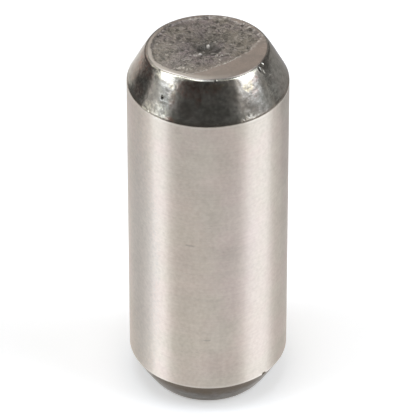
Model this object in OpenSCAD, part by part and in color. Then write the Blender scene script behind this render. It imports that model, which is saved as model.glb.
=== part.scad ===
// Hardened dowel pin, in millimetres.
// It stands on its square end with the sheared end up.
// The origin is the middle of the square end, and +Z runs along the axis.

/* [Ground body] */
// Ground diameter, which sets the fit in a reamed hole
pin_d = 8; // [6:0.5:16]
// Length along the axis, from the middle of one end face to the middle of the other
pin_len = 20; // [10:1:50]
// Rounding of the two edges between the ground body and the chamfers
edge_r = 0.15; // [0.05:0.05:0.4]

/* [Sheared end, on top] */
// Length of the chamfer along the axis
top_chamfer_len = 1.9; // [1:0.1:3]
// How far the chamfer comes in from the ground diameter
top_chamfer_depth = 1; // [0.5:0.05:1.4]
// Rounding of the worn rim
top_rim_r = 0.25; // [0.05:0.05:0.4]
// How far the sheared face is out of square, in degrees
face_slant = 4; // [0:0.5:6]
// Where the slanted face rises, in degrees round from +X
slant_turn = -76; // [-180:1:180]

/* [Marks on the sheared face] */
// Widest part of the smooth land that the shear's blade left
land_w = 1.3; // [0.8:0.1:1.6]
// Where the land is widest, in degrees round from +X
land_turn = -49; // [-180:1:180]
// Radius of the arc between the land and the torn metal
land_edge_r = 5.4; // [4:0.1:9]
// How far the torn metal lies below the land
torn_depth = 0.05; // [0.02:0.01:0.1]
// Width of the rim that stays level with the land all the way round
torn_margin = 0.1; // [0.05:0.05:0.2]
// Diameter of the dimple in the middle of the face
dimple_d = 1.4; // [0.8:0.1:2]
// Depth of the dimple
dimple_depth = 0.3; // [0.1:0.05:0.5]

/* [Square end, at the bottom] */
// Length of the chamfer along the axis
bottom_chamfer_len = 1.7; // [1:0.1:3]
// How far the chamfer comes in from the ground diameter
bottom_chamfer_depth = 1; // [0.5:0.05:1.4]
// Rounding of the rim
bottom_rim_r = 0.2; // [0.05:0.05:0.4]

/* [Hidden] */
$fn = 180;
// How much further than the chamfer the worn rim leans out, so that the two cross cleanly
rim_lean = 5;
// A rounding's arc is this much larger than a tangent one, so that it crosses its two lines cleanly
arc_ease = 1.001;
// Spare length and width of a shape that cuts, past what it cuts
spare = 1;

pin_r = pin_d / 2;
top_face_r = pin_r - top_chamfer_depth;
bottom_face_r = pin_r - bottom_chamfer_depth;
top_angle = atan(top_chamfer_depth / top_chamfer_len);
// A slanted plane cuts the chamfer in an ellipse, whose middle lies downhill of the axis
rim_slope = tan(face_slant) * tan(top_angle);
rim_long_r = top_face_r / (1 - rim_slope * rim_slope) / cos(face_slant);
rim_middle = -rim_long_r * rim_slope * [cos(slant_turn), sin(slant_turn)];
land_edge_offset = land_edge_r - (top_face_r - land_w);
dimple_ball_r = (pow(dimple_d / 2, 2) + pow(dimple_depth, 2)) / (2 * dimple_depth);
steel = [0.74, 0.71, 0.68];

// Unit vector from point a to point b
function towards(a, b) = (b - a) / norm(b - a);

// What a rounding of radius r takes off the corner at p, between the neighbours a and b
module corner_waste(a, p, b, r) {
    to_a = towards(p, a);
    to_b = towards(p, b);
    half_angle = acos(to_a * to_b) / 2;
    middle = p + towards([0, 0], to_a + to_b) * r / sin(half_angle);
    reach = r / tan(half_angle);
    difference() {
        polygon([p, p + to_a * reach, middle, p + to_b * reach]);
        translate(middle)
            circle(r * arc_ease);
    }
}

// Half section of the turned and ground blank, running on past the top for the shear to cut.
// x is the radius and y the height.
module blank_section() {
    run_on = min(spare, top_face_r / tan(top_angle) / 2);
    square_face = [0, 0];
    square_rim = [bottom_face_r, 0];
    low_edge = [pin_r, bottom_chamfer_len];
    high_edge = [pin_r, pin_len - top_chamfer_len];
    above_rim = [top_face_r - run_on * tan(top_angle), pin_len + run_on];
    difference() {
        polygon([square_face, square_rim, low_edge, high_edge, above_rim, [0, pin_len + run_on]]);
        corner_waste(square_face, square_rim, low_edge, bottom_rim_r);
        corner_waste(square_rim, low_edge, high_edge, edge_r);
        corner_waste(low_edge, high_edge, above_rim, edge_r);
    }
}

// Half section of a wide cone with a rounded rim. It ends at y = 0, as wide as the slanted face.
module shear_section() {
    lean = top_angle + face_slant + rim_lean;
    drop = pin_len + spare;
    foot = [rim_long_r + drop * tan(lean), -drop];
    middle = [0, 0];
    rim = [rim_long_r, 0];
    difference() {
        polygon([middle, rim, foot, [0, -drop]]);
        corner_waste(middle, rim, foot, top_rim_r);
    }
}

// Puts what it is given on the sheared face, with z = 0 in the slanted plane
module on_sheared_face() {
    translate([0, 0, pin_len])
        rotate([0, 0, slant_turn])
            rotate([0, -face_slant, 0])
                rotate([0, 0, -slant_turn])
                    children();
}

// The torn part of the face, inside the rim and behind the land
module torn_metal() {
    translate([rim_middle.x, rim_middle.y, -torn_depth])
        linear_extrude(torn_depth + spare)
            intersection() {
                circle(top_face_r - top_rim_r - torn_margin);
                rotate(land_turn)
                    translate([-land_edge_offset, 0])
                        circle(land_edge_r);
            }
}

// A shallow ball mark on the axis, as deep as it says below the torn metal round it
module dimple() {
    translate([0, 0, dimple_ball_r - dimple_depth - torn_depth])
        sphere(dimple_ball_r);
}

module pin() {
    color(steel)
        difference() {
            intersection() {
                rotate_extrude()
                    blank_section();
                on_sheared_face()
                    translate(rim_middle)
                        rotate_extrude()
                            shear_section();
            }
            on_sheared_face() {
                torn_metal();
                dimple();
            }
        }
}

pin();
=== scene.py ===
# %% [markdown]
# # A hardened dowel pin
#
# A dowel pin is a short steel cylinder, pressed into a reamed hole to hold two parts in line.
# It has no moving pieces, so everything here is about how one piece of steel was made: turned
# to a chamfer at each end, sheared off its bar, hardened, and ground bright on the outside.
# Each of those steps leaves its own finish, and the picture is only right when all of them show.
#
# The imported model gives the true size. This script makes a finer mesh of the same pin, wears it,
# gives each zone its own steel, and sets it up on a pale table before a camera.

# %% Load the frame
import functools
import math

import bmesh
import bpy
from mathutils import Matrix, Quaternion, Vector, noise


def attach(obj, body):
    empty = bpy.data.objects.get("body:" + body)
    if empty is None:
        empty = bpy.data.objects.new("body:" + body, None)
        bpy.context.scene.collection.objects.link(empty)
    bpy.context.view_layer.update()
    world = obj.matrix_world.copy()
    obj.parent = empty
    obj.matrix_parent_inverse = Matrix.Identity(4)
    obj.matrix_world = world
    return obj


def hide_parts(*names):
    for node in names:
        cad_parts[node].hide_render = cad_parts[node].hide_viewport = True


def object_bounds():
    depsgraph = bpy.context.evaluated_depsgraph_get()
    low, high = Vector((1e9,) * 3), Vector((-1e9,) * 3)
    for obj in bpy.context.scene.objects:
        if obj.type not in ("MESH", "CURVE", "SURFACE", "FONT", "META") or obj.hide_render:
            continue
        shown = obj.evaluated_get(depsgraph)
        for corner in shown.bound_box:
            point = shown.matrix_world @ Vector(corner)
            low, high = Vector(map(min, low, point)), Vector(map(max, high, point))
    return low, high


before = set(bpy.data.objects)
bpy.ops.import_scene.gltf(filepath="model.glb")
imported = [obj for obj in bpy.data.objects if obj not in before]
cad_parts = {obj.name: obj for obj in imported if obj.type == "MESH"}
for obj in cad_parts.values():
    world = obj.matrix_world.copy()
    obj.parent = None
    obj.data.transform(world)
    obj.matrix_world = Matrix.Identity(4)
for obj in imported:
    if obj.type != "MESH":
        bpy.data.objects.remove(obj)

cad_low, cad_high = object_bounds()
print("CAD box in mm:", [round(1000 * side, 3) for side in cad_high - cad_low])

# %% [markdown]
# ## Sizes
#
# On the real pin the ground diameter is held to a few thousandths of a millimetre, and all the
# rest is loose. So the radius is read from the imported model, and the other sizes repeat the few
# that the part was designed from. They are written in millimetres and turned into Blender's
# metres once, here, because a size that is typed twice is soon wrong in one place. Only the top
# rim starts a little sharper than designed, because its wear comes later.

# %% Sizes of the pin
MM = 0.001

body_radius = min(cad_high.x, cad_high.y, -cad_low.x, -cad_low.y)
length = 20 * MM

top_chamfer_len, top_chamfer_depth, top_rim_r = 1.9 * MM, 1.0 * MM, 0.21 * MM
bottom_chamfer_len, bottom_chamfer_depth, bottom_rim_r = 1.7 * MM, 1.0 * MM, 0.2 * MM
edge_r = 0.15 * MM

top_face_radius = body_radius - top_chamfer_depth
bottom_face_radius = body_radius - bottom_chamfer_depth
high_edge = length - top_chamfer_len
low_edge = bottom_chamfer_len

print("body radius in mm:", round(body_radius / MM, 4))

# %% [markdown]
# ## The half section
#
# Everything turned on a lathe is one outline swept round an axis. The outline could be typed as
# a list of fifty points, but then nobody could change a rounding. Here it has only its six
# corners, joined by edges. A vertex bevel then rounds the four outer corners: the bevel works on
# a bare wire as well as on a solid, and its offset is the length that the arc takes from each
# edge, which is the radius divided by the tangent of half the corner's angle.

# %% Draw the outline and round its corners
def outline(corners):
    """A wire of straight edges through the corners, which are (radius, height) pairs."""
    bm = bmesh.new()
    points = [bm.verts.new((radius, 0, height)) for radius, height in corners]
    for here, there in zip(points, points[1:]):
        bm.edges.new((here, there))
    return bm, points


def round_corner(bm, corner, radius, segments):
    """Replaces one corner of the wire by an arc, and returns the length taken from each edge."""
    arms = [edge.other_vert(corner).co - corner.co for edge in corner.link_edges]
    reach = radius / math.tan(arms[0].angle(arms[1]) / 2)
    bmesh.ops.bevel(
        bm, geom=[corner], offset=reach, offset_type="OFFSET", segments=segments,
        profile=0.5, affect="VERTICES", material=-1,
    )
    return reach


pin, corners = outline([
    (0, 0),
    (bottom_face_radius, 0),
    (body_radius, low_edge),
    (body_radius, high_edge),
    (top_face_radius, length),
    (0, length),
])
round_corner(pin, corners[1], bottom_rim_r, segments=5)
round_corner(pin, corners[2], edge_r, segments=4)
round_corner(pin, corners[3], edge_r, segments=4)
rim_reach = round_corner(pin, corners[4], top_rim_r, segments=9)
print("outline:", len(pin.verts), "points")

# %% [markdown]
# ## Rings where they are needed
#
# The wear that comes later is made by moving vertices, so the mesh has to be fine where the
# steel is chipped or torn, and may be coarse along the straight ground band. Each straight edge
# of the outline is first cut at the borders between those zones, and then subdivided to the
# step that its zone asks for. An even mesh would need three times as many faces.

# %% Subdivide the outline
near_edge = 0.4 * MM
face_step, chamfer_step, worn_step = 0.041 * MM, 0.058 * MM, 0.06 * MM
low_chamfer_step, square_face_step, band_step = 0.11 * MM, 0.4 * MM, 1.6 * MM
same_point = worn_step / 100


def ring_step(height):
    """How far apart the rings lie at this height."""
    if height >= length - worn_step / 2:
        return face_step
    if height > high_edge:
        return chamfer_step
    if height > high_edge - near_edge:
        return worn_step
    if height > low_edge + near_edge:
        return band_step
    if height > low_edge - near_edge:
        return worn_step
    return low_chamfer_step if height > 0 else square_face_step


for height in (low_edge - near_edge, low_edge + near_edge, high_edge - near_edge):
    bmesh.ops.bisect_plane(
        pin, geom=pin.verts[:] + pin.edges[:], dist=same_point,
        plane_co=(0, 0, height), plane_no=(0, 0, 1),
    )
for edge in pin.edges[:]:
    middle = (edge.verts[0].co + edge.verts[1].co) / 2
    cuts = math.ceil(edge.calc_length() / ring_step(middle.z)) - 1
    if cuts > 0:
        bmesh.ops.subdivide_edges(pin, edges=[edge], cuts=cuts)
print("outline after the cuts:", len(pin.verts), "points")

# %% [markdown]
# ## Turning it round
#
# A spin sweeps the outline round the axis. One spin of more than five hundred steps is slow,
# because each step searches the whole mesh made so far. So one narrow wedge is spun, and then the
# mesh is doubled by copying it and turning the copy, until the wedges close the ring. Merging the
# doubles welds the joints between the wedges and closes the two poles.

# %% Spin a wedge and double it
wedge_steps, doublings = 17, 5
wedge_angle = 2 * math.pi / 2**doublings

bmesh.ops.spin(
    pin, geom=pin.verts[:] + pin.edges[:], cent=(0, 0, 0), axis=(0, 0, 1),
    dvec=(0, 0, 0), angle=wedge_angle, steps=wedge_steps, use_merge=False, use_duplicate=False,
)
for doubling in range(doublings):
    copy = bmesh.ops.duplicate(pin, geom=pin.verts[:] + pin.edges[:] + pin.faces[:])
    points = [item for item in copy["geom"] if isinstance(item, bmesh.types.BMVert)]
    turn = Matrix.Rotation(wedge_angle * 2**doubling, 3, "Z")
    bmesh.ops.rotate(pin, verts=points, cent=(0, 0, 0), matrix=turn)
bmesh.ops.remove_doubles(pin, verts=pin.verts[:], dist=same_point)
bmesh.ops.recalc_face_normals(pin, faces=pin.faces[:])

open_edges = sum(not edge.is_manifold for edge in pin.edges)
print("turned pin:", len(pin.faces), "faces,", open_edges, "open edges")

# %% [markdown]
# ## Which steel is where
#
# Three finishes meet on one skin. The grinding wheel only touched the cylinder, so the chamfers
# kept the dark skin of the hardening furnace, and the sheared face kept the torn grain of the
# metal. The borders are sharp rings, so each face simply gets a material index by its place,
# while the mesh is still perfectly round and easy to sort.

# %% Sort the faces into three finishes
GROUND, DARKENED, SHEARED = range(3)
ground_from, ground_to = low_edge - edge_r / 4, high_edge - edge_r / 4
sheared_from = length - top_rim_r / 30


def finish_at(middle):
    """The finish of a face of the turned pin, from its middle."""
    if ground_from < middle.z < ground_to:
        return GROUND
    return SHEARED if middle.z > sheared_from else DARKENED


for face in pin.faces:
    face.smooth = True
    face.material_index = finish_at(face.calc_center_median())
for name, index in (("ground", GROUND), ("darkened", DARKENED), ("sheared", SHEARED)):
    print(name, sum(face.material_index == index for face in pin.faces), "faces")

# %% [markdown]
# ## The slant of the sheared end
#
# A bar shear never cuts quite square: this face leans by four degrees and stands highest on the
# near side. The chamfer was turned true to the axis, so the slanted plane meets its cone in an
# ellipse. Tilting the whole top would spoil the cone, so each point of the chamfer slides along
# the cone instead, by more the nearer it is to the rim, and each point of the face goes straight
# up or down to the plane.
#
# The blade first squeezes and burnishes the bar, and then the rest tears off. So the face has a
# smooth crescent on the side where the blade went in, the land, which leans outwards a little
# more. The rim isn't a perfect ellipse either: it is fuller on the left, where the bar bulged
# under the blade, it has a low burr beside that, and it wanders all the way round.

# %% Shape of the rim
face_slant, slant_turn = math.radians(4), math.radians(-76)
cone_slope = top_chamfer_depth / top_chamfer_len
bulge_turn, bulge_spread, bulge_size = math.radians(-152), math.radians(26), 0.13 * MM
burr_turn, burr_spread, burr_size = math.radians(-118), math.radians(20), 0.03 * MM
wander_size, wander_turns = 0.03 * MM, 2.2
land_w, land_turn, land_edge_r, land_slope = 1.3 * MM, math.radians(-49), 5.4 * MM, 0.075
land_out = Vector((math.cos(land_turn), math.sin(land_turn)))
land_edge_middle = -(land_edge_r - (top_face_radius - land_w)) * land_out


def towards_turn(angle, middle, spread):
    """1 in this direction from the axis, and less the further round the pin."""
    off = math.remainder(angle - middle, 2 * math.pi) / spread
    return math.exp(-off * off)


def round_noise(angle, turns, seed=0.0):
    """Plain noise from -1 to 1 that meets itself again after a full turn."""
    return noise.noise(Vector((turns * math.cos(angle), turns * math.sin(angle), seed)))


def rise(angle):
    """How much the slanted plane rises for each metre out from the axis, in this direction."""
    return math.tan(face_slant) * math.cos(angle - slant_turn)


def rim_swell(angle):
    """How far the worn rim stands out from the true ellipse."""
    bulge = bulge_size * towards_turn(angle, bulge_turn, bulge_spread)
    return bulge + wander_size * round_noise(angle, wander_turns)


def onto_land(x, y):
    """How far a point lies outside the curved border of the torn metal, and less than 0 inside."""
    return math.hypot(x - land_edge_middle.x, y - land_edge_middle.y) - land_edge_r


def land_sink(radius, angle):
    """How far the land has dropped below the slanted plane."""
    return land_slope * max(0, onto_land(radius * math.cos(angle), radius * math.sin(angle)))


def burr(angle):
    """How far the rim is turned up."""
    return burr_size * towards_turn(angle, burr_turn, burr_spread)


def ellipse_radius(angle):
    """How far out the slanted plane meets the cone."""
    return top_face_radius / (1 + rise(angle) * cone_slope)


def rim_lift(angle):
    """How far the rim stands above the slanted plane."""
    return burr(angle) - land_sink(ellipse_radius(angle), angle)


def rim_radius(angle):
    """How far out the worn rim lies."""
    return ellipse_radius(angle) + rim_swell(angle) - rim_lift(angle) * cone_slope


print("rim radius on the near side in mm:", round(rim_radius(slant_turn) / MM, 3))

# %% Slide the top onto the slanted plane
rim_low = length - rim_reach * math.cos(math.atan(cone_slope))
burr_width = 0.5 * MM


def slide_to_plane(co):
    """Moves one point of the round, square-ended pin to where the sheared pin has it."""
    radius, angle = math.hypot(co.x, co.y), math.atan2(co.y, co.x)
    if co.z < high_edge + edge_r or radius == 0:
        return co
    share = min(1, (co.z - high_edge) / (rim_low - high_edge))
    if co.z < rim_low:
        lift = share * rise(angle) * ellipse_radius(angle) + share**2 * rim_lift(angle)
        radius += rim_swell(angle) * share**3 - lift * cone_slope
    else:
        radius *= rim_radius(angle) / top_face_radius
        near_rim = max(0, min(1, 1 - (rim_radius(angle) - radius) / burr_width))
        lift = rise(angle) * radius + burr(angle) * near_rim**2 - land_sink(radius, angle)
    return Vector((radius * math.cos(angle), radius * math.sin(angle), co.z + lift))


for vert in pin.verts:
    vert.co = slide_to_plane(vert.co)
print("top of the rim in mm:", round(max(vert.co.z for vert in pin.verts) / MM, 3))

# %% [markdown]
# ## Torn metal and the smooth land
#
# Behind the curved border of the land, the face is coarse torn grain. In the middle is the mark
# of the lathe's centre. The border is faint where the tearing began, on the left, and ends on the
# right in a ragged bright lip, where the metal let go last.
#
# Grain like this could be a bump map, but a bump can't throw a real edge against the light at
# the border, or change the outline of the dimple. The rings here are fine enough to carry it, so
# the points themselves go down. How torn the metal is at a place is worked out first, as a mask
# from 0 to 1, because the relief and the colours need the same borders. The cache keeps what it
# works out, so asking for it again costs nothing.

# %% Where the metal is torn
border_width, border_wander, faint_width = 0.14 * MM, 0.17 * MM, 0.9 * MM
broad_wander, fine_wander, fine_share = 0.5 * MM, 0.15 * MM, 0.7
rim_margin, worn_margin = 0.02 * MM, 0.1 * MM
worn_turn, worn_power = math.radians(-140), 1.5
clear_from, clear_to, faintest = 0.9 * MM, 2.0 * MM, 0.5


def smooth_step(low, high, value):
    """0 below low, 1 above high, and a soft slope between them."""
    share = max(0.0, min(1.0, (value - low) / (high - low)))
    return share * share * (3 - 2 * share)


def grain(x, y, size, seed=0.0):
    """Plain noise from -1 to 1, with features of about this size."""
    return noise.noise(Vector((x / size, y / size, seed)))


def rim_wear(angle):
    """1 in the middle of the stretch where the rim is rubbed bright, and 0 on the far side."""
    return max(0.0, math.cos(angle - worn_turn)) ** worn_power


def inside_rim(x, y):
    """How far a point lies inside the rounded rim, in metres."""
    angle = math.atan2(y, x)
    margin = rim_reach + rim_margin + worn_margin * rim_wear(angle)
    return rim_radius(angle) - margin - math.hypot(x, y)


@functools.cache
def torn_mask(x, y):
    """1 on torn metal and 0 on the smooth land and the rim."""
    behind_land = -onto_land(x, y)
    wander = border_wander * (grain(x, y, broad_wander) + fine_share * grain(x, y, fine_wander))
    faintness = (1 - faintest) * (1 - smooth_step(clear_from, clear_to, x))
    fullness = 1 - faintness * (1 - smooth_step(0, faint_width, behind_land))
    return fullness * smooth_step(0, border_width, min(behind_land, inside_rim(x, y)) + wander)


land_middle = land_out * (top_face_radius - land_w / 2)
print("torn in the middle:", torn_mask(0, 0), "and in the middle of the land:", torn_mask(*land_middle))

# %% [markdown]
# ## Grain that is even in every direction
#
# Torn steel is lumpy at several sizes at once, so the relief is a sum of noises: broad lumps,
# pebbles from a cell noise, and a fine grit.
#
# The points lie on rings, far closer together round the axis than out from it. Fine grain read
# straight at them keeps its sharpness in one direction only, and the face gets rays. So the grain
# is first worked out on a square lattice, and each point reads a blend of the four lattice values
# round it.

# %% Relief of the torn grain
lump_size, pebble_size, grit_size = 0.55 * MM, 0.2 * MM, 0.12 * MM
lump_depth, pebble_depth, grit_depth = 0.04 * MM, 0.055 * MM, 0.03 * MM
lump_seed, pebble_seed, grit_seed = 11, 5.5, 3
pebble_slope, lattice = 1.4, 0.05 * MM


def torn_relief(x, y):
    """How deep the grain is here, in metres: lumps, pebbles and grit."""
    lumps = 0.5 + 0.5 * grain(x, y, lump_size, lump_seed)
    near, far = noise.voronoi(Vector((x / pebble_size, y / pebble_size, pebble_seed)))[0][:2]
    pebbles = 1 - min(1.0, pebble_slope * (far - near))
    grit = 0.5 + 0.5 * grain(x, y, grit_size, grit_seed)
    return lump_depth * lumps + pebble_depth * pebbles + grit_depth * grit


@functools.cache
def lattice_relief(column, row):
    """The relief at one point of the lattice."""
    return torn_relief(column * lattice, row * lattice)


def even_relief(x, y):
    """The relief between the lattice points, as sharp in every direction."""
    column, row = math.floor(x / lattice), math.floor(y / lattice)
    right, up = x / lattice - column, y / lattice - row
    low, high = (
        (1 - right) * lattice_relief(column, line) + right * lattice_relief(column + 1, line)
        for line in (row, row + 1)
    )
    return (1 - up) * low + up * high


print("grain in the middle in mm:", round(even_relief(0, 0) / MM, 3))

# %% [markdown]
# ## Masks for wear, dirt and painted light
#
# Edges that were rubbed are bright, and hollows hold oil and dust. Where that is depends on the
# shape, so it is worked out here, point by point, and kept on the mesh for the materials. A
# picture painted by hand could do the same, but a mask follows the shape when a size changes.
# Two tiny burrs in the dimple, some flakes at the far right of the rim, the lip, and the stretch
# of rim that rubs against other pins are bare, and on the two burrs the bright colour is a painted
# glint. The dimple and the metal round it are dirty, and the dimple's dark is painted shade too.

# %% Bare and dirty places on the face, with painted glints and shade
dimple_radius, dimple_power = 0.74 * MM, 1.4
dimple_uneven, dimple_lobes, dimple_seed = 0.22, 1.7, 4
burr_spots, burr_spot_radius = ((0.01 * MM, 0.4 * MM), (-0.36 * MM, -0.46 * MM)), 0.11 * MM
flake_turn, flake_power, flake_size, flake_seed = math.radians(52), 3, 0.13 * MM, 8
flake_shine, flake_limit = 1.6, 0.3
lip_width, lip_shine, lip_grain, lip_seed = 0.09 * MM, 0.5, 0.2 * MM, 6
rub_shine, rub_from, rub_to = 0.6, 0.8 * top_face_radius, 0.9 * top_face_radius
worn_shine, worn_from, worn_to = 0.13, 0.2 * top_face_radius, 0.8 * top_face_radius
grime_x, grime_y, grime_reach, grime_most = -0.2 * MM, 0.6 * MM, 1.7 * MM, 0.6


@functools.cache
def dimple_mask(x, y):
    """1 in the middle of the dimple, falling to 0 at its uneven edge."""
    uneven = 1 + dimple_uneven * round_noise(math.atan2(y, x), dimple_lobes, dimple_seed)
    share = math.hypot(x, y) / (dimple_radius * uneven)
    return max(0.0, 1 - share * share) ** dimple_power


def in_dimple(x, y):
    """1 over most of the dimple, and 0 outside it."""
    return min(1, 3 * dimple_mask(x, y))


@functools.cache
def glint_mask(x, y):
    """1 on the tiny burrs in the dimple, which catch the light and carry a painted glint."""
    nearest = min(math.hypot(x - spot_x, y - spot_y) for spot_x, spot_y in burr_spots)
    return max(0.0, 1 - (nearest / burr_spot_radius) ** 2)


def lip_mask(x, y):
    """How bright the ragged lip is, at the end of the land's border where the metal tore last."""
    across = onto_land(x, y) / lip_width
    ragged = smooth_step(-0.3, 0.3, grain(x, y, lip_grain, lip_seed))
    return lip_shine * math.exp(-across * across) * smooth_step(clear_from, clear_to, x) * ragged


def bare_and_glint_mask(x, y):
    """How much bare, bright metal shows on the face, with a painted glint on each burr."""
    radius, angle = math.hypot(x, y), math.atan2(y, x)
    facing = max(0, math.cos(angle - flake_turn)) ** flake_power
    flakes = max(0, flake_shine * grain(x, y, flake_size, flake_seed) - flake_limit) * facing
    rubbed = min(1, flakes + rub_shine * (1 - torn_mask(x, y)) * rim_wear(angle))
    rubbed *= smooth_step(rub_from, rub_to, radius)
    worn = worn_shine * rim_wear(angle) * smooth_step(worn_from, worn_to, radius)
    return max(glint_mask(x, y), rubbed, worn, lip_mask(x, y))


def dirt_and_dimple_shade_mask(x, y):
    """How much dirt lies on the face: a haze round the middle, and more in the dimple, with painted shade
    there.
    """
    away = math.hypot(x - grime_x, y - grime_y)
    grime = grime_most * (1 - smooth_step(0, grime_reach, away))
    return max(grime, in_dimple(x, y)) * (1 - glint_mask(x, y))


print("dirt in the dimple:", dirt_and_dimple_shade_mask(0, 0), "and bare metal there:", bare_and_glint_mask(0, 0))

# %% [markdown]
# ## Pressing the face's marks in
#
# Five masks are kept on the mesh: torn metal, bare metal with some painted highlights and glints,
# dirt with some painted shade, and two heat tints, straw and plum, which come later. They have to
# be made before any list of points is drawn up, because a new layer moves the mesh in memory. Then
# each point of the face goes down by the grain, the dimple and a slow wave. The grain fades out
# towards the rim, where the rounding was worn smooth, while its colour goes on to the edge.

# %% Press the face's marks into it
for name in ("torn", "bare_and_highlight", "dirt_and_shade", "straw", "plum"):
    pin.verts.layers.float.new(name)
masks = pin.verts.layers.float
torn_layer, bare_and_highlight_layer, dirt_and_shade_layer = masks["torn"], masks["bare_and_highlight"], masks["dirt_and_shade"]
straw_layer, plum_layer = masks["straw"], masks["plum"]
torn_depth, rim_fade = 0.025 * MM, 0.2 * MM
dimple_depth, dimple_calm, burr_spot_rise = 0.3 * MM, 0.6, 0.1 * MM
land_wave, land_wave_size = 0.008 * MM, 0.7 * MM

face_points = {vert for face in pin.faces if face.material_index == SHEARED for vert in face.verts}
for vert in face_points:
    x, y, z = vert.co
    wave = land_wave * (0.5 + 0.5 * grain(x, y, land_wave_size))
    relief = torn_depth + even_relief(x, y) * (1 - dimple_calm * in_dimple(x, y))
    relief *= torn_mask(x, y) * smooth_step(0, rim_fade, inside_rim(x, y))
    bump = burr_spot_rise * glint_mask(x, y) - dimple_depth * dimple_mask(x, y)
    vert.co.z = z - wave - relief + bump
    vert[torn_layer] = torn_mask(x, y)
    vert[bare_and_highlight_layer] = bare_and_glint_mask(x, y)
    vert[dirt_and_shade_layer] = dirt_and_dimple_shade_mask(x, y)
print("face points:", len(face_points))

# %% [markdown]
# ## Dents, chips and pits
#
# Loose pins knock against each other in the tumbler and in the box. The knocks show most where
# the chamfer meets the ground band, as small chips that catch the light. Each is a shallow
# ellipse pressed in along the skin's own normal, with a ragged floor. Cutting real holes would
# cost many faces for the same look. The list below gives the ones that can be seen, and a few
# for the far side.

# %% Press the knocks in
knocks = [
    # degrees, half width, height, half height, depth, and 1 for bare metal or -1 for dirt
    (-128.8, 0.04, 18.95, 0.08, 0.06, -1),
    (-141.0, 0.22, 18.15, 0.07, 0.012, 0.9),
    (-136.0, 0.12, 18.16, 0.06, 0.010, 0.6),
    (-65.0, 0.05, 18.15, 0.04, 0.006, 0.4),
    (-63.0, 0.04, 18.22, 0.05, 0.010, -0.6),
    (-61.2, 0.05, 18.27, 0.04, 0.006, 0.5),
    (-59.4, 0.04, 18.32, 0.05, 0.010, -0.6),
    (-57.4, 0.05, 18.36, 0.04, 0.006, 0.4),
    (-55.6, 0.05, 18.22, 0.04, 0.008, -0.4),
    (-83.0, 0.09, 20.06, 0.07, 0.015, -0.6),
    (-27.5, 0.12, 19.96, 0.09, 0.020, 0.45),
    (-33.5, 0.07, 19.90, 0.13, 0.015, -0.8),
    (-31.0, 0.07, 19.70, 0.12, 0.010, 0.4),
    (-25.0, 0.08, 19.32, 0.04, 0.012, 0.3),
    (-44.6, 0.14, 1.70, 0.09, 0.07, -0.4),
    (-118.0, 0.10, 1.62, 0.06, 0.03, 0.5),
    (60.0, 0.14, 18.15, 0.08, 0.04, 1),
    (118.0, 0.10, 18.20, 0.07, 0.04, 1),
    (150.0, 0.16, 1.66, 0.08, 0.05, 1),
]
ragged_size, ragged_share = 0.06 * MM, 0.5
floor_slope, look_slope = 1.6, 2.5
nearly_level = 0.95
pin.normal_update()
side_points = [vert for vert in pin.verts if abs(vert.normal.z) < nearly_level]


def patch(turn, half_width, height, half_height):
    """The points near a patch of the side, and how far across and up it they lie, from -1 to 1."""
    for vert in side_points:
        up = (vert.co.z - height * MM) / (half_height * MM)
        if abs(up) <= 1:
            off = math.remainder(math.atan2(vert.co.y, vert.co.x) - math.radians(turn), 2 * math.pi)
            yield vert, off * math.hypot(vert.co.x, vert.co.y) / (half_width * MM), up


def press(turn, half_width, height, half_height, depth, look):
    """Presses one knock in, and marks its floor as bare or dirty."""
    layer = bare_and_highlight_layer if look > 0 else dirt_and_shade_layer
    for vert, across, up in patch(turn, half_width, height, half_height):
        ragged = 1 + ragged_share * noise.noise(vert.co / ragged_size)
        fill = 1 - (up * up + across * across) * ragged
        if fill > 0:
            vert.co -= vert.normal * (depth * MM) * min(1, floor_slope * fill)
            vert[layer] = max(vert[layer], abs(look) * min(1, look_slope * fill))


for knock in knocks:
    press(*knock)
print("knocks:", len(knocks), "on", len(side_points), "points of the side")

# %% [markdown]
# ## Scuffs, stains and heat tints
#
# Besides the knocks, the chamfers have soft patches: scuffed bright, dulled by dirt, or coloured
# by the furnace, which leaves straw and plum where the oxide is thinner or thicker. A few dark
# patches are painted shade that trims the lamps' highlights, and one bright patch on the left is
# partly painted highlight. Noise alone could scatter such patches, but the eye knows this pin by a
# few of them, so they are listed, and a fine fleck breaks each one up. Their edges are soft and
# they are hardly deeper than paint.

# %% Scuffs and stains
scuffs = [
    # degrees, half width, height, half height, and how bare, or how dark below 0: dirt, except the rows
    # marked as painted shade
    (-130.0, 0.80, 18.30, 0.50, 0.7),
    (-137.0, 0.50, 18.30, 0.32, 0.7),
    (-56.0, 0.55, 18.25, 0.20, 0.35),
    (-50.0, 0.45, 19.45, 0.35, 0.15),
    # partly painted highlight, brightening the edge of the lamp's highlight on the left
    (-124.0, 0.40, 19.68, 0.22, 0.6),
    (-141.0, 0.22, 19.62, 0.20, -0.6),
    (-157.0, 0.60, 19.10, 0.50, -0.55),
    (-150.0, 0.40, 18.60, 0.40, -0.4),
    (-98.0, 1.10, 19.86, 0.22, -0.35),
    (-96.5, 0.03, 19.05, 0.50, -0.3),
    (-56.5, 0.10, 18.84, 0.10, -0.5),
    # the next two rows are painted shade that dims the lamps' highlights
    (-47.5, 0.36, 19.66, 0.15, -0.4),
    (-125.0, 0.25, 19.40, 0.18, -0.25),
    (-119.5, 0.16, 18.90, 0.35, -0.3),
    (-80.5, 0.10, 19.60, 0.05, 0.4),
    # the next two rows are painted shade that dims the lamps' highlights
    (-40.0, 0.50, 19.48, 0.38, -0.3),
    (-145.0, 0.40, 19.98, 0.16, -0.7),
]
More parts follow.
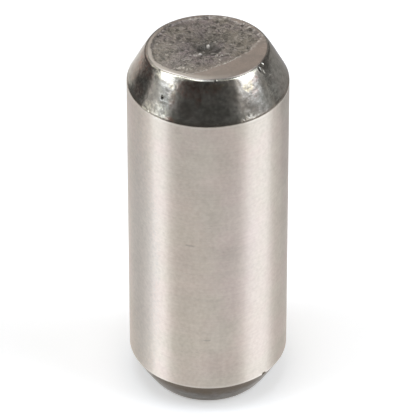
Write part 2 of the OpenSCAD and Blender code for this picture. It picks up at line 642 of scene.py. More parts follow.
heat_tints = [
    # degrees, half width, height, half height, and how straw-coloured, or how plum below 0
    (-165.0, 1.30, 19.60, 0.60, -1.0),
    (-172.0, 1.00, 18.90, 0.50, -0.6),
    (-155.0, 0.50, 18.60, 0.40, -0.8),
    (-118.0, 0.35, 18.20, 0.14, -0.9),
    (-106.0, 0.80, 19.70, 0.50, -1.0),
    (-98.0, 0.20, 19.30, 0.45, -0.9),
    (-124.0, 0.14, 19.62, 0.14, 0.9),
    (-121.0, 0.22, 19.25, 0.45, 0.15),
    (-119.5, 0.20, 18.95, 0.40, -0.6),
    (-53.0, 0.35, 19.55, 0.30, 0.8),
    (-45.0, 0.40, 19.68, 0.16, -0.8),
    (-87.0, 0.60, 19.75, 0.30, -0.8),
    (-48.0, 0.25, 19.20, 0.35, -0.5),
    (-80.0, 0.80, 19.85, 0.10, 0.3),
    (60.0, 1.00, 19.40, 0.50, -0.5),
    (120.0, 0.80, 18.90, 0.50, 0.3),
]
scuff_grain, scuff_depth, scuff_slope, least_fleck = 0.11 * MM, 0.004 * MM, 1.5, 0.3


def scuff(layers, turn, half_width, height, half_height, look):
    """Adds a soft, flecked patch to the first layer, or to the second if look is below 0."""
    layer = layers[0] if look > 0 else layers[1]
    for vert, across, up in patch(turn, half_width, height, half_height):
        fill = min(1, scuff_slope * (1 - up * up - across * across))
        if fill > 0:
            fleck = smooth_step(-0.2, 0.4, noise.noise(vert.co / scuff_grain))
            fleck = least_fleck + (1 - least_fleck) * fleck
            vert[layer] = max(vert[layer], abs(look) * fill * fleck)
            if layer == bare_and_highlight_layer:
                vert.co -= vert.normal * scuff_depth * fill * fleck


for spot in scuffs:
    scuff((bare_and_highlight_layer, dirt_and_shade_layer), *spot)
for spot in heat_tints:
    scuff((straw_layer, plum_layer), *spot)
print("points with some bare metal:", sum(vert[bare_and_highlight_layer] > 0 for vert in pin.verts))

# %% [markdown]
# ## Rubbed edges
#
# Every edge that sticks out is rubbed bright in the tumbler and in the box: a thin line along
# both ends of the ground band, and a brighter, uneven band just below the rim. Both are partly
# wear and partly painted highlight: the lines brighten the shine of the edge roundings, and the
# band's four stretches follow the lamps' highlights below the rim. An edge detector would find
# them all alike, but here each is rubbed in its own way, so the line's strength comes from noise
# and the band's width from four stretches of the rim.

# %% Rub the edges bright, partly as painted highlight
rub_width, rub_patch, rub_uneven = 0.05 * MM, 1.2 * MM, 0.6
# lines along both ends of the ground band, partly wear and partly painted highlight
edge_rub_and_highlight_lines = ((high_edge - 0.09 * MM, 0.45), (low_edge + 0.02 * MM, 0.6))
rim_rub_and_highlight_bands = [
    # degrees, spread, and width of the band below the rim, rubbed bright and painted as highlight
    (-134, 11, 0.44),
    (-116, 20, 0.16),
    (-72, 16, 0.10),
    (-50, 11, 0.36),
]
band_edge, band_wander, band_grain = 0.04 * MM, 0.07 * MM, 0.2 * MM


def rim_rub_and_highlight(co):
    """1 where the rim is rubbed bright and painted as highlight, and 0 further down the chamfer."""
    angle = math.atan2(co.y, co.x)
    width = MM * max(
        size * towards_turn(angle, math.radians(turn), math.radians(wide))
        for turn, wide, size in rim_rub_and_highlight_bands
    )
    rim_height = length + rise(angle) * ellipse_radius(angle) + rim_lift(angle)
    below = rim_height - co.z + band_wander * noise.noise(co / band_grain)
    return smooth_step(0, band_edge, width) * smooth_step(width + band_edge, width - band_edge, below)


for vert in side_points:
    for rub_height, least in edge_rub_and_highlight_lines:
        off_line = (vert.co.z - rub_height) / rub_width
        if abs(off_line) < 2:
            rubbed = max(0, min(1, least + rub_uneven * noise.noise(vert.co / rub_patch)))
            vert[bare_and_highlight_layer] = max(vert[bare_and_highlight_layer], rubbed * math.exp(-off_line * off_line))
    if vert.co.z > (high_edge + length) / 2:
        vert[bare_and_highlight_layer] = max(vert[bare_and_highlight_layer], rim_rub_and_highlight(vert.co) * (1 - vert[dirt_and_shade_layer]))
print("points more than half bare:", sum(vert[bare_and_highlight_layer] > 0.5 for vert in pin.verts))

# %% [markdown]
# ## Waves in the chamfers
#
# A chamfer turned on an automatic lathe and then tumbled isn't a true cone: it has a slight
# belly, falls away towards the rim, and is a little wavy. On bright metal that decides the look,
# because a slope of one degree moves a reflection by two: the lamps show only where the skin
# turns up towards the rim. The waves are only a few thousandths of a millimetre high.

# %% Crown and wave the chamfers
crown, crown_power, belly, fade_in = 0.075 * MM, 5, 0.4, 0.12
waves = ((0.9 * MM, 0.007 * MM), (0.35 * MM, 0.0035 * MM), (0.15 * MM, 0.0012 * MM))

pin.normal_update()
dark_points = {vert for face in pin.faces if face.material_index == DARKENED for vert in face.verts}
for vert in dark_points:
    if vert.normal.z < -nearly_level:
        continue
    wave = sum(high * (0.5 + 0.5 * noise.noise(vert.co / size)) for size, high in waves)
    on_top = vert.co.z > length / 2
    foot, head = (high_edge, length) if on_top else (low_edge, 0)
    share = max(0, min(1, (vert.co.z - foot) / (head - foot)))
    sink = wave + crown * (share**crown_power - belly * share)
    vert.co -= vert.normal * smooth_step(0, fade_in, share) * sink
print("chamfer points:", len(dark_points))

# %% [markdown]
# ## From working mesh to piece
#
# The finished mesh becomes an object at the origin, unturned and unscaled, because the pin's
# place is already in its points. It rides on the part's one body and stands for the plain node,
# which is hidden.

# %% Make the piece
def add_object(name, data):
    """Shows a mesh, a lamp or a camera in the scene."""
    made = bpy.data.objects.new(name, data)
    bpy.context.scene.collection.objects.link(made)
    return made


shape = bpy.data.meshes.new("dowel_pin")
pin.to_mesh(shape)
pin.free()
dowel_pin = add_object("dowel_pin", shape)
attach(dowel_pin, "root")
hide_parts("pin")
print("triangles:", sum(len(polygon.vertices) - 2 for polygon in shape.polygons))

# %% [markdown]
# ## Building blocks for the materials
#
# All three finishes are the same steel, so they share their effects. Each effect is a node group
# that puts out plain numbers, and each material decides what to do with them. Node code is long
# when every node and link has its own line, so a few small helpers keep it short: one places a
# node and fills its inputs with values or links, and the others are the sums it is used for most.

# %% Helpers for node trees
def place(tree, kind, inputs=None, **settings):
    """Adds a node, sets its options, and fills its inputs with values or links."""
    made = tree.nodes.new(kind)
    for name, value in settings.items():
        setattr(made, name, value)
    for name, value in (inputs or {}).items():
        if isinstance(value, bpy.types.NodeSocket):
            tree.links.new(value, made.inputs[name])
        else:
            made.inputs[name].default_value = value
    return made


def calculate(tree, operation, *values):
    """The result of a Math node."""
    return place(tree, "ShaderNodeMath", dict(enumerate(values)), operation=operation).outputs[0]


def vector(tree, operation, *values):
    """The result of a Vector Math node."""
    return place(tree, "ShaderNodeVectorMath", dict(enumerate(values)), operation=operation).outputs[0]


def combine(tree, x, y, z):
    """Three numbers as one vector."""
    return place(tree, "ShaderNodeCombineXYZ", {"X": x, "Y": y, "Z": z}).outputs[0]


def spread(tree, value, low, high, to_low=0.0, to_high=1.0):
    """Maps the range from low to high onto another, and stops at its ends."""
    inputs = {"Value": value, "From Min": low, "From Max": high, "To Min": to_low, "To Max": to_high}
    return place(tree, "ShaderNodeMapRange", inputs, interpolation_type="SMOOTHSTEP").outputs["Result"]


def place_on_pin(tree):
    """Where a point of the skin lies, in the pin's own frame."""
    return place(tree, "ShaderNodeTexCoord").outputs["Object"]


def open_group(name, result, **numbers):
    """A node group, with its number inputs at their usual values, and the number that it gives."""
    group = bpy.data.node_groups.new(name, "ShaderNodeTree")
    for label, usual in numbers.items():
        socket = group.interface.new_socket(label, in_out="INPUT", socket_type="NodeSocketFloat")
        socket.default_value = usual
    group.interface.new_socket(result, in_out="OUTPUT", socket_type="NodeSocketFloat")
    given = group.nodes.new("NodeGroupInput").outputs
    return group, given, group.nodes.new("NodeGroupOutput").inputs[result]


effects = {}


def share_effect(name, group):
    """Keeps a finished group, so that every material can use it."""
    effects[name] = group
    print("effect", name, "has", len(group.nodes), "nodes")


# %% [markdown]
# ## Lines round the pin
#
# A grinding wheel and a lathe tool both leave fine lines round the axis. A noise that is
# squeezed along Z and stretched along X and Y gives them with no seam, which a pattern on the
# angle round the axis would have. The group takes the number of lines in a millimetre and how
# many times a line changes in a millimetre of its run.

# %% Group: lines round the axis
def lines_group():
    group, given, height = open_group("lines round the axis", "Height", Lines=12.0, Breaks=0.3, Ragged=2.0)
    across = calculate(group, "MULTIPLY", given["Breaks"], 1 / MM)
    along = calculate(group, "MULTIPLY", given["Lines"], 1 / MM)
    squeezed = vector(group, "MULTIPLY", place_on_pin(group), combine(group, across, across, along))
    numbers = {"Vector": squeezed, "Scale": 1.0, "Detail": given["Ragged"]}
    group.links.new(place(group, "ShaderNodeTexNoise", numbers).outputs["Fac"], height)
    return group


share_effect("lines", lines_group())

# %% [markdown]
# ## Blotches
#
# Heat, oil and fingers leave soft stains that have no direction. One noise with its middle
# values spread apart gives them. The same group at a small size gives haze, mottling and grit,
# and a seed for each use keeps two of them from falling in the same places.

# %% Group: blotches
def blotches_group():
    group, given, mask = open_group("blotches", "Mask", Size=2.0, Edge=0.15, Detail=3.0, Seed=0.0)
    scale = calculate(group, "DIVIDE", 1 / MM, given["Size"])
    numbers = {"Vector": place_on_pin(group), "W": given["Seed"], "Scale": scale, "Detail": given["Detail"]}
    cloud = place(group, "ShaderNodeTexNoise", numbers, noise_dimensions="4D").outputs["Fac"]
    low = calculate(group, "SUBTRACT", 0.5, given["Edge"])
    high = calculate(group, "ADD", 0.5, given["Edge"])
    group.links.new(spread(group, cloud, low, high), mask)
    return group


share_effect("blotches", blotches_group())

# %% [markdown]
# ## Specks
#
# Bright metal shows every tiny pit and grain of dust. A Voronoi texture has one random point in
# each cell, and the distance to it is small only close to that point, so a low limit leaves a
# dot. A second look at the cell's own random colour keeps only some of the dots. Stretching the
# place along Z first squeezes each dot into a short nick that runs round the pin.

# %% Group: specks
def specks_group():
    group, given, mask = open_group("specks", "Mask", Spacing=1.0, Width=0.05, Share=0.3, Squeeze=1.0)
    stretch = combine(group, 1, 1, given["Squeeze"])
    stretched = vector(group, "MULTIPLY", place_on_pin(group), stretch)
    scale = calculate(group, "DIVIDE", 1 / MM, given["Spacing"])
    cells = place(group, "ShaderNodeTexVoronoi", {"Vector": stretched, "Scale": scale}).outputs
    width = calculate(group, "DIVIDE", given["Width"], given["Spacing"])
    dot = spread(group, cells["Distance"], 0.0, width, 1.0, 0.0)
    pick = place(group, "ShaderNodeSeparateColor", {"Color": cells["Color"]}).outputs["Red"]
    kept = calculate(group, "LESS_THAN", pick, given["Share"])
    group.links.new(calculate(group, "MULTIPLY", dot, kept), mask)
    return group


share_effect("specks", specks_group())

# %% [markdown]
# ## Marks
#
# A few marks have a place of their own: a short dark nick, or a broad faint stain, each with a
# ragged edge. The group measures how far a point of the skin is from the mark's middle, in
# millimetres, after squeezing the distance so that the mark may be longer round the pin than
# along it.

# %% Group: marks
def mark_group():
    group, given, mask = open_group("mark", "Mask", X=0.0, Y=0.0, Z=0.0, Length=0.3, Width=0.07)
    in_mm = vector(group, "MULTIPLY", place_on_pin(group), [1 / MM] * 3)
    away = vector(group, "SUBTRACT", in_mm, combine(group, given["X"], given["Y"], given["Z"]))
    size = combine(group, given["Length"], given["Length"], given["Width"])
    shares = vector(group, "DIVIDE", away, size)
    reach = place(group, "ShaderNodeVectorMath", {0: shares}, operation="LENGTH").outputs["Value"]
    ragged = place(group, "ShaderNodeTexNoise", {"Vector": in_mm, "Scale": 9.0}).outputs["Fac"]
    edge = calculate(group, "MULTIPLY_ADD", ragged, 1.2, calculate(group, "SUBTRACT", reach, 0.6))
    group.links.new(spread(group, edge, 0.4, 1.1, 1.0, 0.0), mask)
    return group


share_effect("mark", mark_group())

# %% [markdown]
# ## Grains
#
# Torn metal breaks along its crystals, so it is a patchwork of small flat facets, each with its
# own grey. A Voronoi texture is just such a patchwork: every cell has one random colour. Bending
# the place that it reads by a little noise keeps the cells from looking like a tiled floor.

# %% Group: grains
def grains_group():
    group, given, shade = open_group("grains", "Shade", Size=0.1, Bend=0.5, Seed=0.0)
    here = place_on_pin(group)
    scale = calculate(group, "DIVIDE", 1 / MM, given["Size"])
    bend = calculate(group, "MULTIPLY", given["Bend"], calculate(group, "DIVIDE", 1.0, scale))
    cloud = place(group, "ShaderNodeTexNoise", {"Vector": here, "Scale": scale, "Detail": 1.0})
    bent = vector(group, "ADD", here, vector(group, "MULTIPLY", cloud.outputs["Color"], bend))
    numbers = {"Vector": bent, "W": given["Seed"], "Scale": scale}
    cells = place(group, "ShaderNodeTexVoronoi", numbers, voronoi_dimensions="4D").outputs["Color"]
    group.links.new(place(group, "ShaderNodeSeparateColor", {"Color": cells}).outputs["Red"], shade)
    return group


share_effect("grains", grains_group())

# %% [markdown]
# ## Layers of colour
#
# Each finish is a ground colour with thin layers over it: stains, lines, dirt, bare metal. One
# Mix node for each would do, but the list of them is what a reader wants to see and to change.
# So each material writes its layers as a table: where the layer shows, how strongly, and its
# colour. The last ones lie on top.

# %% Helpers for materials
def use(tree, effect, **numbers):
    """Places a shared effect in a material, with its own numbers."""
    return place(tree, "ShaderNodeGroup", numbers, node_tree=effects[effect]).outputs[0]


def mask_from(tree, *names):
    """Masks that were kept on the mesh."""
    return [place(tree, "ShaderNodeAttribute", attribute_name=name).outputs["Fac"] for name in names]


def blend_colour(tree, share, first, second):
    """A colour between two others."""
    mix = place(tree, "ShaderNodeMix", data_type="RGBA")
    sockets = {socket.identifier: socket for socket in [*mix.inputs, *mix.outputs]}
    tree.links.new(share, sockets["Factor_Float"])
    for name, colour in (("A_Color", first), ("B_Color", second)):
        if isinstance(colour, bpy.types.NodeSocket):
            tree.links.new(colour, sockets[name])
        else:
            sockets[name].default_value = (*colour, 1)
    return sockets["Result_Color"]


def layered(tree, colour, layers):
    """A colour with others laid over it."""
    for share, strength, over in layers:
        if strength < 1:
            share = calculate(tree, "MULTIPLY", share, strength)
        colour = blend_colour(tree, share, colour, over)
    return colour


def add_up(tree, total, *parts):
    """A number, plus a part of each mask."""
    for mask, part in parts:
        total = calculate(tree, "MULTIPLY_ADD", mask, part, total)
    return total


def new_material(name, numbers):
    """A material, its node tree and its Principled shader, with the shader's plain numbers set."""
    material = bpy.data.materials.new(name)
    material.use_nodes = True
    tree = material.node_tree
    shader = next(item for item in tree.nodes if item.type == "BSDF_PRINCIPLED")
    for label, value in numbers.items():
        shader.inputs[label].default_value = value
    return material, tree, shader


def finish(tree, shader, colour, rough, height, depth, lined=False):
    """Gives the shader its colour, roughness and bump, which is this deep at a height of 1."""
    bump = place(tree, "ShaderNodeBump", {"Height": height, "Distance": depth, "Strength": 1.0})
    tree.links.new(bump.outputs["Normal"], shader.inputs["Normal"])
    tree.links.new(colour, shader.inputs["Base Color"])
    tree.links.new(rough, shader.inputs["Roughness"])
    if lined:
        around = place(tree, "ShaderNodeTangent", direction_type="RADIAL", axis="Z").outputs[0]
        tree.links.new(around, shader.inputs["Tangent"])


# %% [markdown]
# ## The ground band
#
# Ground steel reflects the room like a mirror from side to side, because the scratches run that
# way, but smears it up and down. That is anisotropy: the shader's highlight is stretched along
# the axis, a quarter turn from the direction that the Tangent node gives. The upright light and
# dark bands come mostly from this and from the lamps. The colour has the wheel's lines, a haze,
# pits, two nicks, and faint olive and rust stains in front. Three broad upright tints are painted
# reflection of the room: khaki in front on the left, violet in front on the right, and a cooler,
# darker band on the left that is painted shade as well. The rubbed lines at both ends of the band
# are partly painted highlight.

# %% Material: ground steel
def ground_steel():
    numbers = {"Metallic": 1.0, "Anisotropic": 1.0, "Anisotropic Rotation": 0.25}
    material, tree, shader = new_material("ground steel", numbers)
    fine = use(tree, "lines", Lines=16.0, Breaks=0.35, Ragged=3.0)
    broad = use(tree, "lines", Lines=2.4, Breaks=0.5, Ragged=4.0)
    stain = use(tree, "blotches", Size=1.7, Edge=0.12, Seed=1.0)
    bloom = use(tree, "blotches", Size=1.1, Edge=0.2, Seed=5.0)
    haze = use(tree, "blotches", Size=0.17, Edge=0.3, Detail=3.0, Seed=8.0)
    dots = use(tree, "specks", Spacing=0.9, Width=0.045, Share=0.16)
    nicks = use(tree, "specks", Spacing=0.75, Width=0.13, Share=0.35, Squeeze=4.0)
    low_mark = use(tree, "mark", X=-0.07, Y=-4.0, Z=4.8, Length=0.26, Width=0.06)
    high_mark = use(tree, "mark", X=-0.9, Y=-3.9, Z=10.75)
    marks = calculate(tree, "MAXIMUM", low_mark, high_mark)
    olive = use(tree, "mark", X=-1.5, Y=-3.7, Z=4.3, Length=1.5, Width=0.9)
    rust = use(tree, "mark", X=0.6, Y=-3.95, Z=3.2, Length=1.2, Width=1.0)
    # broad upright bands of painted reflection, and on the left of painted shade as well
    painted_khaki_reflection = use(tree, "mark", X=-1.1, Y=-3.8, Z=8.0, Length=1.5, Width=9.0)
    painted_cool_reflection_and_shade = use(tree, "mark", X=-3.32, Y=-2.24, Z=8.5, Length=1.4, Width=10.0)
    painted_violet_reflection = use(tree, "mark", X=1.5, Y=-3.7, Z=10.5, Length=1.3, Width=6.0)
    bare_and_highlight, dirt_and_shade = mask_from(tree, "bare_and_highlight", "dirt_and_shade")

    pit = (0.2, 0.18, 0.16)
    colour = layered(tree, (0.68, 0.573, 0.51), [
        # where it shows, how strongly, and its colour
        (stain, 1, (0.645, 0.578, 0.495)),
        (bloom, 0.4, (0.635, 0.56, 0.487)),
        # painted reflection: khaki and violet tints in front, and a cooler, darker band of painted shade on
        # the left
        (painted_khaki_reflection, 0.4, (0.607, 0.51, 0.41)),
        (painted_cool_reflection_and_shade, 0.8, (0.561, 0.524, 0.485)),
        (painted_violet_reflection, 0.4, (0.665, 0.55, 0.53)),
        (olive, 0.4, (0.56, 0.52, 0.42)),
        (rust, 0.4, (0.58, 0.46, 0.41)),
        (spread(tree, fine, 0.3, 0.7), 0.12, (0.36, 0.33, 0.3)),
        (haze, 0.32, (0.9, 0.82, 0.74)),
        (dots, 0.4, pit),
        (nicks, 0.2, pit),
        (marks, 0.3, pit),
        # bare metal, and the rubbed edge lines that are partly painted highlight
        (bare_and_highlight, 1, (0.8, 0.75, 0.68)),
        (dirt_and_shade, 1, (0.08, 0.07, 0.06)),
    ])
    rough = add_up(tree, 0.35, (broad, 0.06), (bloom, 0.03))
    height = add_up(tree, fine, (broad, 1.6))
    finish(tree, shader, colour, rough, height, 0.0012 * MM, lined=True)
    return material


shape.materials.append(ground_steel())
print("slot", GROUND, "has", shape.materials[GROUND].name)

# %% [markdown]
# ## The darkened chamfers
#
# The furnace leaves a thin dark skin, and the tumbler polishes it, so a chamfer is darker than
# the ground band but glossier. It still shows the lathe's lines, a cloudy mottling, and a
# scorched ring at its foot, and the straw and plum masks of the mesh bring in the heat tints.
# Where a knock broke the skin, bare steel shines through, and the mask of bare metal says where;
# below the rim the same mask lays a band of painted highlight. The mask of dirt also holds a few
# patches of painted shade, which trim the lamps' highlights. The bottom chamfer is painted darker,
# about half as bright, as painted shade for the underside that faces the table: grey with paler
# streaks, and brown next to the ground band. All of it is one material, with the height along the
# pin to tell the ends apart, because it is one skin from one furnace.

# %% Material: darkened steel
def darkened_steel():
    numbers = {"Metallic": 1.0, "Anisotropic": 0.3, "Anisotropic Rotation": 0.25}
    material, tree, shader = new_material("darkened steel", numbers)
    shader.inputs["Specular Tint"].default_value = (0.84, 0.795, 0.755, 1)
    lines = use(tree, "lines", Lines=9.0, Breaks=0.9, Ragged=4.0)
    tint = use(tree, "blotches", Size=1.3, Edge=0.12, Seed=2.0)
    cloud = use(tree, "blotches", Size=0.45, Edge=0.25, Detail=5.0, Seed=7.0)
    mottle = use(tree, "blotches", Size=0.19, Edge=0.22, Detail=4.0, Seed=11.0)
    grit = use(tree, "blotches", Size=0.07, Edge=0.25, Detail=2.0, Seed=14.0)
    dots = use(tree, "specks", Spacing=0.32, Width=0.035, Share=0.25)
    bare_and_highlight, dirt_and_shade, straw, plum = mask_from(tree, "bare_and_highlight", "dirt_and_shade", "straw", "plum")

    height = place(tree, "ShaderNodeSeparateXYZ", {0: place_on_pin(tree)}).outputs["Z"]
    low_end = spread(tree, height, 3 * MM, 2 * MM)
    wavy_height = add_up(tree, height, (cloud, 0.4 * MM))
    browned = calculate(tree, "MULTIPLY", low_end, spread(tree, wavy_height, 0.8 * MM, 1.5 * MM))
    streaks = calculate(tree, "MULTIPLY", low_end, spread(tree, lines, 0.45, 0.65))
    scaly = calculate(tree, "MULTIPLY", low_end, mottle)
    scorched = spread(tree, height, 18.3 * MM, 18.15 * MM)

    colour = layered(tree, (0.395, 0.35, 0.305), [
        # where it shows, how strongly, and its colour
        (tint, 1, (0.37, 0.355, 0.308)),
        (cloud, 0.5, (0.5, 0.475, 0.425)),
        (plum, 1, (0.37, 0.235, 0.19)),
        (straw, 1, (0.8, 0.66, 0.42)),
        (scorched, 0.35, (0.22, 0.15, 0.105)),
        (mottle, 0.5, (0.13, 0.12, 0.102)),
        (grit, 0.15, (0.13, 0.12, 0.102)),
        # painted shade: the bottom chamfer darkened to about half, for the underside that faces the table
        (low_end, 0.9, (0.165, 0.168, 0.172)),
        (streaks, 0.8, (0.31, 0.32, 0.33)),
        (browned, 1, (0.098, 0.074, 0.052)),
        (scaly, 0.35, (0.06, 0.055, 0.05)),
        (dots, 0.6, (0.12, 0.11, 0.1)),
        # bare metal, with a band of painted highlight below the rim; then dirt, with patches of painted
        # shade
        (bare_and_highlight, 1, (0.61, 0.57, 0.465)),
        (dirt_and_shade, 1, (0.04, 0.04, 0.035)),
    ])
    rough = add_up(tree, 0.14, (cloud, 0.1), (bare_and_highlight, 0.06))
    relief = add_up(tree, lines, (cloud, 1.2), (mottle, 0.6))
    finish(tree, shader, colour, rough, relief, 0.0022 * MM, lined=True)
    return material


shape.materials.append(darkened_steel())
print("slot", DARKENED, "has", shape.materials[DARKENED].name)

# %% [markdown]
# ## The sheared face
#
# Torn grain has no polish, so it is the dullest zone, and its colour is mottled grey and brown
# because dirt and scale stay in its hollows. Pale and dark grains are painted light and shade, for
# facets that face the light or turn away. The smooth land is the same steel, burnished: a lighter,
# warmer grey with a soft shine. The torn mask from the mesh divides the two. The dimple is dark
# with dirt and painted shade, and the mask of bare metal makes the lip, the flakes and the rubbed
# rim shine, and gives the two burrs in the dimple a painted glint.

# %% Material: sheared steel
def sheared_steel():
    material, tree, shader = new_material("sheared steel", {"Metallic": 1.0})
    pale_grains = spread(tree, use(tree, "grains", Size=0.14, Bend=0.9, Seed=13.0), 0.6, 1.0)
    dark_grains = spread(tree, use(tree, "grains", Size=0.2, Bend=0.9, Seed=6.0), 0.5, 0.95)
    lumps = use(tree, "blotches", Size=0.6, Edge=0.12, Detail=4.0, Seed=9.0)
    grit = use(tree, "blotches", Size=0.06, Edge=0.2, Detail=2.0, Seed=4.0)
    patches = use(tree, "blotches", Size=1.5, Edge=0.1, Detail=3.0, Seed=12.0)
    torn, bare_and_highlight, dirt_and_shade = mask_from(tree, "torn", "bare_and_highlight", "dirt_and_shade")

    grains = layered(tree, (0.285, 0.245, 0.195), [
        # where it shows, how strongly, and its colour
        (patches, 1, (0.285, 0.235, 0.22)),
        (lumps, 0.5, (0.19, 0.172, 0.148)),
        (dark_grains, 0.8, (0.085, 0.074, 0.06)),
        (pale_grains, 0.75, (0.42, 0.37, 0.315)),
    ])
    land = layered(tree, (0.275, 0.23, 0.195), [
        (lumps, 1, (0.325, 0.265, 0.222)),
        (grit, 0.4, (0.22, 0.182, 0.155)),
    ])
    colour = layered(tree, blend_colour(tree, torn, land, grains), [
        # dirt, with painted shade in the dimple; then bare metal, with painted glints on the two burrs
        (dirt_and_shade, 0.8, (0.077, 0.07, 0.06)),
        (bare_and_highlight, 1, (0.72, 0.66, 0.58)),
    ])
    rough = add_up(tree, 0.36, (torn, 0.1), (pale_grains, 0.05))
    coarse = calculate(tree, "MULTIPLY", calculate(tree, "ADD", grit, pale_grains), torn)
    finish(tree, shader, colour, rough, add_up(tree, coarse, (grit, 0.1)), 0.014 * MM)
    return material


shape.materials.append(sheared_steel())
print("slot", SHEARED, "has", shape.materials[SHEARED].name)

# %% [markdown]
# ## The camera
#
# Polished metal has hardly any look of its own: it shows the room. So the camera comes first,
# because every lamp and card is placed by what it shows from there. It stands well back with a
# long lens, as for any small product, and looks down by almost 38 degrees, which was found by
# fitting the rings of the pin to the ones in the photograph.

# %% The camera
camera_distance, camera_elevation, camera_lens = 240 * MM, 37.72, 415.3
aim = Vector((0, 0, 10.09 * MM))


def direction(turn, elevation):
    """Points away from the pin: turn 0 is the camera's side and 90 the right, in degrees."""
    turn, elevation = math.radians(turn), math.radians(elevation)
    level = math.cos(elevation)
    return Vector((math.sin(turn) * level, -math.cos(turn) * level, math.sin(elevation)))


camera_data = bpy.data.cameras.new("camera")
camera_data.lens = camera_lens
camera_data.sensor_width = 36
camera_data.clip_start, camera_data.clip_end = 10 * MM, 10
camera = add_object("camera", camera_data)
camera.location = aim + direction(0, camera_elevation) * camera_distance
camera.rotation_euler = direction(0, camera_elevation).to_track_quat("Z", "Y").to_euler()
bpy.context.scene.camera = camera
print("camera at, in mm:", [round(side / MM, 1) for side in camera.location])

# %% [markdown]
# ## The table
#
# The pin stands on a plain white table, which carries its shadow and lights it from below. The
# picture's ground should be white, but more light on the table would also be more light on the
# pin. So the table glows a little, only for the camera and for reflections.

# %% The table
def plain_material(name, colour, glow=0.0):
    """A dull material of one colour, for the things that aren't part of the pin."""
    return new_material(name, {
        "Base Color": colour, "Roughness": 1.0, "Specular IOR Level": 0.0,
        "Emission Color": colour, "Emission Strength": glow,
    })


def stage_piece(name, bm, material):
    """Turns a working mesh into an object that isn't part of the pin."""
    mesh = bpy.data.meshes.new(name)
    bm.to_mesh(mesh)
    bm.free()
    mesh.materials.append(material)
    made = add_object(name, mesh)
    return made


def looked_at(tree):
    """1 where the camera or a reflection looks, and 0 for all other light."""
    path = place(tree, "ShaderNodeLightPath").outputs
    seen = calculate(tree, "MAXIMUM", path["Is Camera Ray"], path["Is Glossy Ray"])
    return calculate(tree, "MAXIMUM", seen, path["Is Transmission Ray"])


table_size, table_glow = 3.0, 0.3
table_mesh = bmesh.new()
bmesh.ops.create_grid(table_mesh, x_segments=1, y_segments=1, size=table_size)
table_white, tree, table_shader = plain_material("white table", (0.98, 0.95, 0.905, 1))
glow = calculate(tree, "MULTIPLY", looked_at(tree), table_glow)
tree.links.new(glow, table_shader.inputs["Emission Strength"])
table = stage_piece("table", table_mesh, table_white)
print("table:", [round(side, 2) for side in table.dimensions], "metres")

# %% [markdown]
# ## The lamps
#
# The two bright bands on the ground steel are broad lamps at its sides, so there is a softbox
# on each side and a small lamp overhead. They could stand upright, but the camera looks down, and
# an upright lamp's smeared reflection then bends round the pin, which blurs the band. Leaning
# each softbox back by twenty degrees keeps the band's edges straight and sharp.

# %% The lamps
lamp_colour = (0.878, 0.985, 1.145)
lamp_distance, side_elevation, side_tall, side_lean = 420 * MM, 36, 350 * MM, 20


def softbox(name, turn, elevation, width, height, brightness, lean=0):
    """A flat lamp that faces the pin. Brightness 1 looks as bright as white paper."""
    lamp = bpy.data.lights.new(name, "AREA")
    lamp.shape = "RECTANGLE"
    lamp.size, lamp.size_y = width, height
    lamp.energy = brightness * math.pi * width * height
    lamp.color = lamp_colour
    made = add_object(name, lamp)
    out = direction(turn, elevation)
    made.location = aim + out * lamp_distance
    upright = out.to_track_quat("Z", "Y")
    made.rotation_euler = (upright @ Quaternion((0, 0, 1), math.radians(lean))).to_euler()
    made.visible_camera = False
    print(name, "gives", round(lamp.energy, 3), "watts")


softbox("left softbox", -73, side_elevation, 155 * MM, side_tall, 3.5, side_lean)
softbox("right softbox", 77, side_elevation, 250 * MM, side_tall, 2.95, -side_lean)
softbox("top lamp", -40, 80, 160 * MM, 160 * MM, 3.4)

# %% [markdown]
# ## Cards
#
# What isn't lit has to be dark, or the steel looks like plaster. A photographer stands grey and
# black cards round the set: the dark middle of the chamfer is the front card, the calmer greys
# beside the lamps are the side and back cards, mats on the table darken the lower half of what
# the ground band mirrors, and one card high on the right draws the dark line along the rim.
# Each is a line swept round the pin, because a bent card shows no corners. They cast no shadow
# and give no light, and the camera doesn't see them: only reflections do.

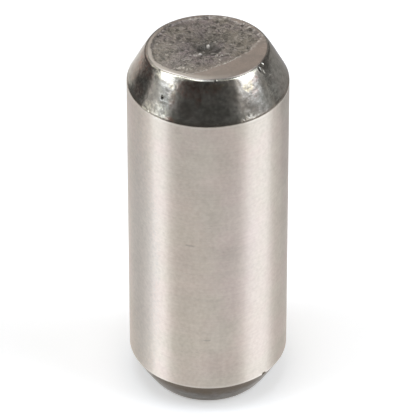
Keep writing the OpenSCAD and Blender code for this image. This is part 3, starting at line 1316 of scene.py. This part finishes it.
# %% The cards
def card(name, first, last, near, far, grey):
    """A card swept from one turn to another, in degrees, and from a near (radius, height) to a far."""
    bm, points = outline([near, far])
    begin = Matrix.Rotation(math.radians(first) - math.pi / 2, 3, "Z")
    bmesh.ops.rotate(bm, verts=points, cent=(0, 0, 0), matrix=begin)
    bmesh.ops.spin(
        bm, geom=bm.verts[:] + bm.edges[:], cent=(0, 0, 0), axis=(0, 0, 1), dvec=(0, 0, 0),
        angle=math.radians(last - first), steps=24, use_merge=False, use_duplicate=False,
    )
    made = stage_piece(name, bm, plain_material(name, (grey, grey, grey, 1), glow=1.0)[0])
    made.visible_camera = made.visible_diffuse = made.visible_shadow = False


mat_height, mat_far, wall_distance = 0.5 * MM, 500 * MM, 500 * MM
mats = [
    # name, first and last turn, where it begins, and grey
    ("left mat", -180, 0, 75 * MM, 0.08),
    ("right mat", 0, 110, 75 * MM, 0.33),
    ("right back mat", 110, 180, 30 * MM, 0.27),
]
walls = [
    # name, first and last turn, how many degrees above the pin it reaches, and grey
    ("front card", -40, 30, 52, 0.075),
    ("left front card", -51, -40, 52, 0.13),
    ("right front card", 30, 46, 52, 0.12),
    ("left low card", -94, -70, 14, 0.6),
    ("left lower front card", -70, -51, 14, 0.3),
    ("right low card", 46, 96, 14, 0.28),
    ("left back card", -142, -94, 28, 0.12),
    ("right back card", 98, 155, 50, 0.12),
    ("low back card", 155, 218, 14, 0.3),
]
for name, first, last, near, grey in mats:
    card(name, first, last, (near, mat_height), (mat_far, mat_height), grey)
card("high right card", 0, 178, (330 * MM, 474 * MM), (60 * MM, 560 * MM), 0.08)
for name, first, last, reach, grey in walls:
    top = length + wall_distance * math.tan(math.radians(reach))
    card(name, first, last, (wall_distance, 0), (wall_distance, top), grey)
print("cards:", len(mats) + 1 + len(walls))

# %% [markdown]
# ## The surroundings
#
# A white room fills the shadows and is the ground of the picture. As on the table, the two are
# kept apart: the room looks white to the camera and to reflections, and gives the pin less light
# than that. Standard view keeps white paper white, where a film look would grey it.

# %% The surroundings
room_fill = 0.4
world = bpy.data.worlds.new("white room")
world.use_nodes = True
world.node_tree.nodes.clear()
strength = spread(world.node_tree, looked_at(world.node_tree), 0.0, 1.0, room_fill, 1.0)
room_glow = place(world.node_tree, "ShaderNodeBackground", {"Color": (1, 1, 1, 1), "Strength": strength})
room_end = place(world.node_tree, "ShaderNodeOutputWorld")
world.node_tree.links.new(room_glow.outputs[0], room_end.inputs["Surface"])
bpy.context.scene.world = world
bpy.context.scene.view_settings.view_transform = "Standard"
print("view:", bpy.context.scene.view_settings.view_transform)
